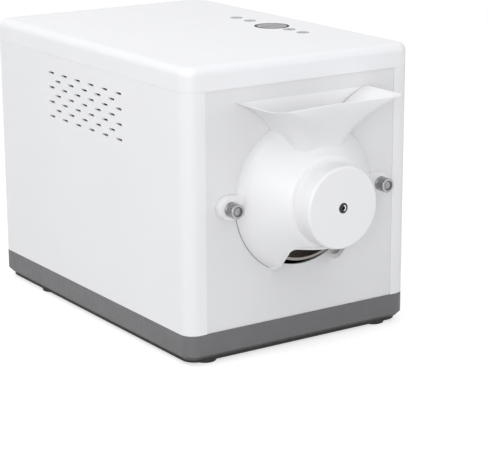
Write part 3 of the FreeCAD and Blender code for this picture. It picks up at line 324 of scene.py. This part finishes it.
def base_plastic():
    """The tray's grained plastic, with painted shade darkening it along its rolled lower edge."""
    finish = spark_grain(Finish("base_plastic", (0.135, 0.135, 0.138), 0.5))
    # Painted shade: the tray turns nearly black below a set height.
    split = finish.node("ShaderNodeSeparateXYZ")
    finish.link(finish.place, split.inputs[0])
    painted_shade = finish.spread(split.outputs["Z"], 1.0, 0.0,
                         start=TRAY_SHADE_HEIGHT - TRAY_SHADE_SOFTNESS, end=TRAY_SHADE_HEIGHT + TRAY_SHADE_SOFTNESS)
    return finish.tint(painted_shade, (0.02, 0.02, 0.021), amount=0.85).material


def rubber():
    """Black rubber with a dull dusty face."""
    finish = Finish("rubber", (0.022, 0.022, 0.023), 0.72, specular=0.35)
    finish.tint(finish.noise(scale=160.0), (0.05, 0.048, 0.046), amount=0.6)
    return finish.bump(finish.noise(scale=900.0), height=0.05 * MM, strength=0.5).material


def brushed_metal(name, colour, roughness, stretch=(1.0, 1.0, 40.0)):
    """Metal with fine lines across the stretched axis."""
    finish = Finish(name, colour, roughness, metallic=1.0)
    lines = finish.noise(scale=220.0, roughness=0.6, place=finish.stretched(stretch))
    finish.tint(lines, shade(colour, 0.72), amount=0.7)
    finish.vary_roughness(lines, by=roughness * 0.35)
    return finish.bump(lines, height=0.01 * MM, strength=0.4).material


def cast_metal(name, colour, roughness):
    """Plated or cast metal, with small even mottling."""
    finish = Finish(name, colour, roughness, metallic=1.0)
    mottle = finish.noise(scale=420.0)
    finish.tint(mottle, shade(colour, 0.8), amount=0.6)
    finish.vary_roughness(mottle, by=0.07)
    return finish.bump(mottle, height=0.02 * MM, strength=0.3).material


def heat_toned_steel():
    """Stainless steel that has been hot: brushed round, straw and blue where it was hottest."""
    finish = Finish("heat_toned_steel", (0.3, 0.285, 0.265), 0.36, metallic=1.0)
    straw, blue = (0.26, 0.19, 0.11), (0.15, 0.17, 0.22)
    finish.tint(finish.noise(scale=18.0), straw, amount=0.45)
    finish.tint(finish.noise(scale=11.0, detail=2.0, place=finish.stretched((1.0, 1.7, 1.0))),
                blue, amount=0.3)
    lines = finish.noise(scale=240.0, roughness=0.6, place=finish.stretched((1.0, 30.0, 1.0)))
    finish.vary_roughness(lines, by=0.1)
    return finish.bump(lines, height=0.01 * MM, strength=0.4).material


def blanket():
    """Woven glass fibre over mineral wool."""
    finish = Finish("blanket", (0.62, 0.59, 0.51), 0.95, specular=0.2)
    weave = finish.node("ShaderNodeTexWave", wave_type="BANDS", bands_direction="Y")
    weave.inputs["Scale"].default_value = 160.0
    weave.inputs["Distortion"].default_value = 1.5
    finish.link(finish.place, weave.inputs["Vector"])
    finish.tint(weave.outputs["Fac"], (0.48, 0.46, 0.4), amount=0.7)
    finish.bump(weave.outputs["Fac"], height=0.3 * MM, strength=0.6)
    return finish.bump(finish.noise(scale=600.0, detail=4.0), height=0.3 * MM, strength=0.5).material


def circuit_board():
    """Green mask with paler tracks showing through."""
    finish = Finish("circuit_board", (0.02, 0.11, 0.05), 0.35, coat=0.2)
    bricks = finish.node("ShaderNodeTexBrick")
    bricks.inputs["Scale"].default_value = 220.0
    bricks.inputs["Mortar Size"].default_value = 0.08
    finish.link(finish.place, bricks.inputs["Vector"])
    finish.tint(bricks.outputs["Fac"], (0.06, 0.24, 0.1), amount=0.8)
    return finish.bump(bricks.outputs["Fac"], height=0.04 * MM, strength=0.6).material


def display_glass():
    """Smoked glossy window with a faint paler field."""
    finish = Finish("display_glass", (0.012, 0.013, 0.016), 0.12)
    finish.tint(finish.noise(scale=70.0, detail=1.0), (0.03, 0.032, 0.04), amount=0.7)
    return finish.vary_roughness(finish.noise(scale=300.0, detail=2.0), by=0.03).material


def printed_ink(name, colour):
    """The matt ink of the printed rings, signs and digits."""
    finish = Finish(name, colour, 0.7, specular=0.15)
    finish.tint(finish.noise(scale=900.0, detail=2.0), shade(colour, 1.4), amount=0.5)
    return finish.bump(finish.noise(scale=3000.0, detail=2.0), height=0.01 * MM, strength=0.3).material


def silicone(name, colour):
    """Soft sealing strip with a dusty bloom."""
    finish = Finish(name, colour, 0.7, specular=0.3)
    finish.tint(finish.noise(scale=250.0), shade(colour, 0.85), amount=0.6)
    return finish.bump(finish.noise(scale=1500.0, detail=2.0), height=0.02 * MM, strength=0.4).material


def make_materials():
    """One material for each slot of the record."""
    return {
        "base_plastic": base_plastic(),
        "foot_rubber": rubber(),
        "screw_steel": cast_metal("screw_steel", (0.58, 0.58, 0.59), 0.3),
        "white_sheet": powder_coat("white_sheet", (0.885, 0.885, 0.89)),
        "white_cover": gloss_moulding("white_cover", (0.9, 0.9, 0.914), 0.36),
        "white_moulding": gloss_moulding("white_moulding", (0.885, 0.885, 0.89), 0.36),
        "display_gloss": display_glass(),
        "key_lens": gloss_moulding("key_lens", (0.5, 0.505, 0.52), 0.38),
        "circuit_board": circuit_board(),
        "black_plastic": grained_plastic("black_plastic", (0.03, 0.03, 0.032), 0.45),
        "brass": cast_metal("brass", (0.72, 0.53, 0.26), 0.28),
        "frame_steel": cast_metal("frame_steel", (0.5, 0.51, 0.52), 0.36),
        "drum_steel": heat_toned_steel(),
        "insulation": blanket(),
        "heater_sheath": brushed_metal("heater_sheath", (0.16, 0.145, 0.135), 0.5),
        "knob_steel": brushed_metal("knob_steel", (0.42, 0.42, 0.43), 0.26, stretch=(1.0, 30.0, 1.0)),
        "black_oxide": cast_metal("black_oxide", (0.05, 0.05, 0.053), 0.35),
    }


def dress_nodes(materials, own):
    """Gives every CAD node the material of its slot, or one of its own where its finish differs or where it
    is darkened as painted shade.
    """
    for row in frame["record"]["subparts"]:
        node = frame["nodes"][row["node"]]
        if not node.material_slots:
            node.data.materials.append(None)
        for slot in node.material_slots:
            slot.material = own.get(row["node"], materials[row["material_slot"]])


# ---------------------------------------------------------------- how the small pieces are made

SHARP_EDGE = math.radians(40)


def swept(name, frames, profile, closed, body, material):
    """One profile swept along frames of (point, outward, upward); an open sweep gets flat ends."""
    verts = [point + outward * a + upward * b
             for point, outward, upward in frames for a, b in profile]
    size = len(profile)
    spans = len(frames) if closed else len(frames) - 1
    faces = []
    for span in range(spans):
        here = span * size
        there = (span + 1) % len(frames) * size
        for edge in range(size):
            beside = (edge + 1) % size
            faces.append((here + edge, here + beside, there + beside, there + edge))
    if not closed:
        faces.append(tuple(reversed(range(size))))
        faces.append(tuple(range(len(verts) - size, len(verts))))
    mesh = bpy.data.meshes.new(name)
    mesh.from_pydata(verts, [], faces)
    face_outward(mesh)
    mesh.materials.append(material)
    mesh.update()
    for face in mesh.polygons:
        face.use_smooth = True
    mesh.set_sharp_from_angle(angle=SHARP_EDGE)
    piece = bpy.data.objects.new(name, mesh)
    bpy.context.scene.collection.objects.link(piece)
    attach(piece, body)


def face_outward(mesh):
    """Turns every face of a closed mesh to the outside."""
    shape = bmesh.new()
    shape.from_mesh(mesh)
    bmesh.ops.recalc_face_normals(shape, faces=shape.faces)
    shape.to_mesh(mesh)
    shape.free()


def circle_frames(centre, radius, normal, count=96, start=0.0, end=360.0):
    """Frames round a circle, or along an arc that starts from +X; profiles are measured outwards."""
    normal = Vector(normal).normalized()
    side = Vector((1, 0, 0))
    other = normal.cross(side)
    whole = abs(end - start) >= 360.0
    steps = count if whole else count - 1
    frames = []
    for number in range(count):
        angle = math.radians(start + (end - start) * number / steps)
        outward = side * math.cos(angle) + other * math.sin(angle)
        frames.append((Vector(centre) + outward * radius, outward, normal))
    return frames


def rounded_frames(box_low, box_high, bend, height, count=12):
    """Frames round a level rectangle with round corners."""
    frames = []
    corners = ((box_high.x - bend, box_high.y - bend, 0), (box_low.x + bend, box_high.y - bend, 90),
               (box_low.x + bend, box_low.y + bend, 180), (box_high.x - bend, box_low.y + bend, 270))
    for x, y, start in corners:
        for number in range(count):
            angle = math.radians(start + 90 * number / (count - 1))
            outward = Vector((math.cos(angle), math.sin(angle), 0))
            frames.append((Vector((x, y, height)) + outward * bend, outward, Vector(UP)))
    return frames


def line_frames(points, normal):
    """Frames along a run of points on a face; the profile's first number is measured to its right."""
    normal = Vector(normal).normalized()
    points = [Vector(point) for point in points]
    frames = []
    for number, point in enumerate(points):
        before = points[max(number - 1, 0)]
        after = points[min(number + 1, len(points) - 1)]
        frames.append((point, (after - before).cross(normal).normalized(), normal))
    return frames


def bead(width, height):
    """A low rounded profile that stands on a face."""
    half = width / 2
    return [(-half, -height * 0.5), (half, -height * 0.5), (half, height * 0.5), (half * 0.5, height),
            (-half * 0.5, height), (-half, height * 0.5)]


# ---------------------------------------------------------------- housing and cover

SEAM_DEPTH = 0.2 * MM
SEAM_THICKNESS = 1.2 * MM
SEAM_RISE = 0.3 * MM
SIDE_SEAM_WIDTH = 1.6 * MM
SIDE_SEAM_HEIGHT = 0.3 * MM
SIDE_SEAM_SINK = 0.4 * MM
SIDE_SEAM_START = 1 * MM
SIDE_SEAM_STEPS = 8


def seam_strips(material):
    """Pale strips that close the joints round the top cover and beside the front and rear panels."""
    low = Vector((SHELL_LOW.x, SHELL_LOW.y, 0))
    high = Vector((-SHELL_LOW.x, SHELL_HIGH.y, 0))
    middle = (SHELL_HIGH.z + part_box("top_cover")[0].z) / 2
    inner = -SEAM_DEPTH - SEAM_THICKNESS
    profile = [(inner, -SEAM_RISE), (-SEAM_DEPTH, -SEAM_RISE), (-SEAM_DEPTH, SEAM_RISE), (inner, SEAM_RISE)]
    swept("cover_seam_strip", rounded_frames(low, high, CORNER_ROUND, middle), profile, True,
          "body", material)
    base = SHELL_LOW.z + SIDE_SEAM_START
    rear_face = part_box("rear_panel")[1].y
    profile = bead(SIDE_SEAM_WIDTH, SIDE_SEAM_HEIGHT)
    for side, side_name in ((SHELL_HIGH.x, "left"), (-SHELL_HIGH.x, "right")):
        for face, facing, face_name in ((PANEL_FACE, -1, "front"), (rear_face, 1, "rear")):
            run = [(side, face - facing * SIDE_SEAM_SINK,
                    base + (SHELL_HIGH.z - base) * step / SIDE_SEAM_STEPS)
                   for step in range(SIDE_SEAM_STEPS + 1)]
            swept(f"{face_name}_seam_strip_{side_name}", line_frames(run, (0, facing, 0)), profile,
                  False, "body", material)


SEAL_PROFILE = in_mm((-1.2, 0.02), (0.4, 0.02), (0.5, 0.3), (0.3, 0.6), (-1.2, 0.6))
SEAL_POINTS = 50


def cover_seal(pale, dark):
    """Thin seals behind the cover's rim: pale above the ears; from there down to the notch they are dark
    grey, painted shadow under the rim.
    """
    centre = (0, PANEL_FACE, AXIS_HEIGHT)
    for name, start, end, slot, material in (
            ("cover_seal_upper_left", 123, 175, "white_moulding", pale),
            ("cover_seal_lower_left_shadow", 185, 240, "black_plastic", dark),
            ("cover_seal_lower_right_shadow", -60, -5, "black_plastic", dark),
            ("cover_seal_upper_right", 5, 57, "white_moulding", pale)):
        arc = circle_frames(centre, COVER_RADIUS, FORWARD, SEAL_POINTS, start, end)
        swept(name, arc, SEAL_PROFILE, False, "front_cover", material)


BACK_LOW = AXIS_HEIGHT + 70 * MM
BACK_HIGH = AXIS_HEIGHT + 92.5 * MM
BACK_HALF_LOW = 37 * MM
BACK_HALF_HIGH = 69.5 * MM
BACK_FLARE = 1.9
BACK_STEPS = 14
BACK_GAP = 0.1 * MM
BACK_MIDDLE = 0.5 * MM
BACK_EDGE = 0.7 * MM
BACK_SLOPE_START = 0.985
BACK_SLOPE_END = 0.5


def hopper_back(material):
    """Thin plate with flaring sides that closes the hopper's back above the dome; its white, lighter than
    the panel behind it, paints light over the shade inside the hopper.
    """
    frames = []
    for number in range(BACK_STEPS):
        share = number / (BACK_STEPS - 1)
        height = BACK_LOW + (BACK_HIGH - BACK_LOW) * share
        half = BACK_HALF_LOW + (BACK_HALF_HIGH - BACK_HALF_LOW) * share ** BACK_FLARE
        frames.append((Vector((0, PANEL_FACE - BACK_GAP, height)), Vector((half, 0, 0)), Vector(FORWARD)))
    profile = [(-1.0, 0.0), (1.0, 0.0), (BACK_SLOPE_START, BACK_EDGE), (BACK_SLOPE_END, BACK_MIDDLE),
               (-BACK_SLOPE_END, BACK_MIDDLE), (-BACK_SLOPE_START, BACK_EDGE)]
    swept("hopper_back", frames, profile, False, "front_cover", material)


# A bright arc that paints a glint on the edge of the cap screw's socket.
GLINT_RADIUS = 2.5 * MM
GLINT_WIDTH = 1.0 * MM
GLINT_HEIGHT = 0.12 * MM
GLINT_POINTS = 24
GLINT_START = -75
GLINT_END = 80


def socket_glint(material):
    """A painted glint: a bright arc on the edge of the cap screw's socket."""
    low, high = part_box("cap_screw")
    middle = (low + high) / 2
    arc = circle_frames((middle.x, low.y, middle.z), GLINT_RADIUS, FORWARD, GLINT_POINTS, GLINT_START, GLINT_END)
    swept("cap_screw_glint", arc, bead(GLINT_WIDTH, GLINT_HEIGHT), False, "front_cover", material)


# A black strip of painted shadow under the tray's edge.
SHADOW_STRIP_INSET = 4.8 * MM
SHADOW_STRIP_PROFILE = in_mm((-2.5, -3.1), (-0.4, -3.1), (0.0, -2.7), (0.0, 0.2), (-2.5, 0.2))


def base_shadow_strip(material):
    """Black strip under the tray's edge, between the feet and the rolled lower edge, that paints the shadow
    of the gap under the tray.
    """
    low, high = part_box("base_tray")
    inset = Vector((SHADOW_STRIP_INSET, SHADOW_STRIP_INSET, 0))
    frames = rounded_frames(low + inset, high - inset, CORNER_ROUND, low.z)
    swept("base_shadow_strip", frames, SHADOW_STRIP_PROFILE, True, "body", material)


FILTER_DEPTH = 2.0 * MM
FILTER_MARGIN = 0.5 * MM
FILTER_GAP = 0.05 * MM


def chaff_filter(material):
    """A flat dark foam on the fan's inner face, which keeps chaff out of it."""
    low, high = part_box("fan_frame")
    across = (low.x + high.x) / 2
    frames = [(Vector((across, low.y - FILTER_GAP, height)), Vector((1, 0, 0)), Vector(FORWARD))
              for height in (low.z + FILTER_MARGIN, high.z - FILTER_MARGIN)]
    half = (high.x - low.x) / 2 - FILTER_MARGIN
    profile = [(-half, 0.0), (half, 0.0), (half, FILTER_DEPTH), (-half, FILTER_DEPTH)]
    swept("chaff_filter", frames, profile, False, "body", material)


# ---------------------------------------------------------------- keys, display and thumb screws

PRINT_WIDTH = 0.75 * MM
PRINT_HEIGHT = 0.05 * MM
PRINT_SUNK = 0.6
RING_SHARE = 0.8
RING_POINTS = 64
SIGN_SHARE = 0.42


def key_symbols(material):
    """A printed ring on each key, with a sign inside it: power, fan, heat and time."""
    low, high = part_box("touch_keys")
    across = (low.x + high.x) / 2
    radius = (high.x - low.x) / 2
    first, last = low.y + radius, high.y - radius
    places = (("key_time", first), ("key_heat", first + KEY_STEPS[0]),
              ("key_fan", first + KEY_STEPS[1]), ("key_power", last))
    top = high.z - PRINT_HEIGHT * PRINT_SUNK
    profile = bead(PRINT_WIDTH, PRINT_HEIGHT)
    for name, along in places:
        centre = Vector((across, along, top))
        ring = circle_frames(centre, radius * RING_SHARE, UP, RING_POINTS)
        swept(f"{name}_ring", ring, profile, True, "body", material)
        for number, run in enumerate(sign_runs(name, radius * SIGN_SHARE)):
            run = [centre + Vector((x, y, 0)) for x, y in run]
            swept(f"{name}_sign_{number}", line_frames(run, UP), profile, False,
                  "body", material)


def arc_points(x, y, radius, start, end, count=20):
    """Points along an arc about (x, y), from start to end in degrees."""
    angles = [math.radians(start + (end - start) * number / (count - 1)) for number in range(count)]
    return [(x + radius * math.cos(angle), y + radius * math.sin(angle)) for angle in angles]


def sign_runs(name, reach):
    """The strokes of one sign, about the key's centre, with the front of the machine below it."""
    if name == "key_power":
        return [arc_points(0, 0, reach, 125, 415, 32), [(0, reach * 0.25), (0, reach * 1.1)]]
    if name == "key_fan":
        half = reach / 2
        return [arc_points(half * math.cos(turn), half * math.sin(turn), half, math.degrees(turn),
                           math.degrees(turn) + 180) for turn in (0.0, 2.094, 4.189)]
    if name == "key_heat":
        return [[(x + reach * 0.18 * math.sin(step * 0.9), reach * (step / 5 - 1))
                 for step in range(11)] for x in (-reach * 0.6, 0.0, reach * 0.6)]
    return [arc_points(0, 0, reach, 90, 430, 40), [(0, reach * 0.7), (0, 0), (reach * 0.5, -reach * 0.3)]]


RIM_PROFILE = in_mm((-2.6, 0.0), (-2.3, 0.05), (-0.3, 0.05), (0.0, 0.0))
RIM_SINK = 0.04 * MM
DIGIT_HEIGHT = 6.0 * MM
DIGIT_WIDTH = 3.4 * MM
DIGITS_ALONG = (-10.2, -4.9, 1.5, 6.8)
BAR_WIDTH = 0.6 * MM
BAR_HEIGHT = 0.04 * MM
BAR_SINK = 0.03 * MM
BAR_GAP = 0.45 * MM
DIGIT_BARS = (
    # each end is (0 left or 1 right, -1 lower, 0 middle or 1 upper)
    ((0, -1), (0, 0)), ((0, 0), (0, 1)), ((1, -1), (1, 0)), ((1, 0), (1, 1)),
    ((0, -1), (1, -1)), ((0, 0), (1, 0)), ((0, 1), (1, 1)),
)


def display_details(rim_material, digit_material):
    """The display's dark rim and, on the window, four unlit digits of seven bars."""
    low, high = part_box("display_window")
    middle = (low + high) / 2
    radius = (high.x - low.x) / 2
    ring = circle_frames((middle.x, middle.y, high.z - RIM_SINK), radius, UP)
    swept("display_rim", ring, RIM_PROFILE, True, "body", rim_material)
    profile = bead(BAR_WIDTH, BAR_HEIGHT)
    for digit, along in enumerate(DIGITS_ALONG):
        left = middle.x + along * MM
        sides = (left, left + DIGIT_WIDTH)
        for number, ends in enumerate(DIGIT_BARS):
            start, end = (Vector((sides[side], middle.y + row * DIGIT_HEIGHT / 2, high.z - BAR_SINK))
                          for side, row in ends)
            gap = (end - start).normalized() * BAR_GAP
            swept(f"digit_{digit}_bar_{number}", line_frames([start + gap, end - gap], UP), profile,
                  False, "body", digit_material)


# Dark inserts that paint a dark reflection on the ends of the thumb screws.
INSERT_SINK = 0.8 * MM
INSERT_POINTS = 64
INSERT_RADIUS = 4.65 * MM
INSERT_HEART = 0.01 * MM


def knob_reflection_inserts(rim_material, face_material):
    """A dark insert with a raised rim in the dished end of each thumb screw: the rim is the screw's own
    ring, and the dark colours paint a reflection of something dark.
    """
    for side in ("left", "right"):
        low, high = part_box(f"thumb_screw_{side}")
        middle = (low + high) / 2
        radius = (high.x - low.x) / 2
        ring = circle_frames((middle.x, low.y + INSERT_SINK, middle.z), radius, FORWARD, INSERT_POINTS)
        heart = INSERT_HEART - radius
        edge = INSERT_RADIUS - radius
        face = [(heart, 0.35 * MM), (edge - 1.2 * MM, 0.15 * MM), (edge - 1.0 * MM, 0.0), (heart, 0.0)]
        swept(f"knob_face_reflection_{side}", ring, face, True, f"thumb_{side}", face_material)
        rim = [(edge - 1.1 * MM, 0.0), (edge - 1.0 * MM, 0.5 * MM), (edge - 0.1 * MM, 0.5 * MM), (edge, 0.0)]
        swept(f"knob_rim_{side}", ring, rim, True, f"thumb_{side}", rim_material)


# ---------------------------------------------------------------- the whole scene

make_camera()
make_world()
make_lamps()
make_floor()
MATERIALS = make_materials()
dress_nodes(MATERIALS, {
    "front_panel": powder_coat("front_panel_paint", (0.795, 0.795, 0.797)),
    # Painted shade: the rear frame is made nearly black so the vent slots look dark inside.
    "rear_frame": cast_metal("rear_frame_shade_dark", (0.06, 0.062, 0.066), 0.5),
})
SEAM_WHITE = silicone("seam_white", (0.84, 0.84, 0.845))
# Painted shadow: the dark grey of the lower seals under the cover's rim.
SEAL_SHADOW_GREY = silicone("seal_shadow_grey", (0.3, 0.3, 0.305))
INK = printed_ink("key_ink", (0.07, 0.072, 0.08))
seam_strips(SEAM_WHITE)
cover_seal(SEAM_WHITE, SEAL_SHADOW_GREY)
# Painted light: the back plate's white brightens the shade inside the hopper.
hopper_back(gloss_moulding("hopper_back_lit_white", (0.9, 0.9, 0.905), 0.36))
# Painted highlight: a bright arc on the cap screw's socket.
socket_glint(cast_metal("glint_steel", (0.8, 0.8, 0.81), 0.3))
# Painted shadow: a black strip under the tray.
base_shadow_strip(MATERIALS["foot_rubber"])
chaff_filter(grained_plastic("filter_foam", (0.02, 0.02, 0.021), 0.85))
key_symbols(INK)
display_details(printed_ink("display_rim", (0.008, 0.008, 0.009)),
                printed_ink("digit_grey", (0.05, 0.052, 0.055)))
# Painted reflection: dark metal inserts in the ends of the thumb screws.
knob_reflection_inserts(brushed_metal("knob_rim", (0.16, 0.16, 0.165), 0.3),
             cast_metal("knob_face_reflection", (0.32, 0.32, 0.325), 0.34))

scene = bpy.context.scene
scene.view_settings.view_transform = "Standard"
